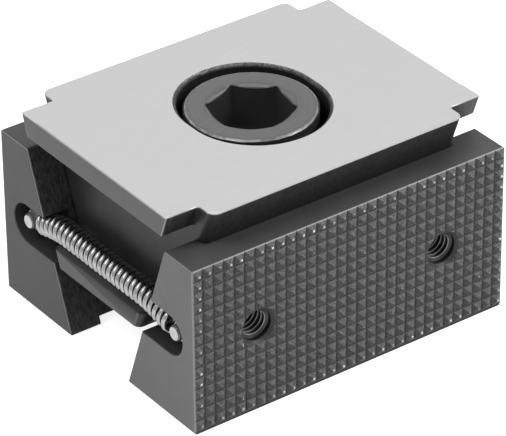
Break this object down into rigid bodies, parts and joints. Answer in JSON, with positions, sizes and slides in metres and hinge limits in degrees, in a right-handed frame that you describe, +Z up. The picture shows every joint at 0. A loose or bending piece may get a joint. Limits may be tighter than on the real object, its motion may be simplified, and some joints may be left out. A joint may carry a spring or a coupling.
{
  "type": "double-acting wedge clamp",
  "caption": "Low block clamp: a cap screw draws a tapered steel wedge down between two serrated jaws, pushing them apart; end springs pull the jaws back.",
  "frame": {"origin": "on the clamping screw's axis, in the plane of the jaws' underside, which sits on the machine table", "axes": "+X along the jaws, +Y towards the rear jaw, +Z up, from the table to the screw head"},
  "size_m": [0.067, 0.0596, 0.0572],
  "materials": {
    "ground_wedge": "black oxide, ground bright on top",
    "front_jaw_steel": "black oxide",
    "rear_jaw_steel": "black oxide",
    "screw_steel": "black oxide",
    "left_spring_wire": "bright drawn wire",
    "right_spring_wire": "bright drawn wire",
    "pin_steel": "ground"
  },
  "bodies": {
    "front_jaw": {"front_jaw": "front_jaw_steel", "front_left_pin": "pin_steel", "front_right_pin": "pin_steel", "left_spring": "left_spring_wire", "right_spring": "right_spring_wire"},
    "rear_jaw": {"rear_jaw": "rear_jaw_steel", "rear_left_pin": "pin_steel", "rear_right_pin": "pin_steel"},
    "wedge": {"wedge": "ground_wedge"},
    "clamping_screw": {"clamping_screw": "screw_steel"}
  },
  "joints": [
    {"name": "wedge_slide", "type": "slide", "parent": "front_jaw", "child": "wedge", "axis": [0, 0.342, -0.9397], "range_m": [0, 0.00745], "stiffness_N_per_m": 2807, "springref_m": -0.01316},
    {"name": "rear_jaw_slide", "type": "slide", "parent": "front_jaw", "child": "rear_jaw", "axis": [0, 1, 0], "range_m": [0, 0.0051], "deforming": ["left_spring", "right_spring"]},
    {"name": "screw_turn", "type": "hinge", "parent": "wedge", "child": "clamping_screw", "pos_m": [0, 0, 0.0228], "axis": [0, 0, 1], "continuous": true}
  ],
  "couplings": [
    {"joint": "rear_jaw_slide", "follows": "wedge_slide", "ratio": 0.68404}
  ]
}
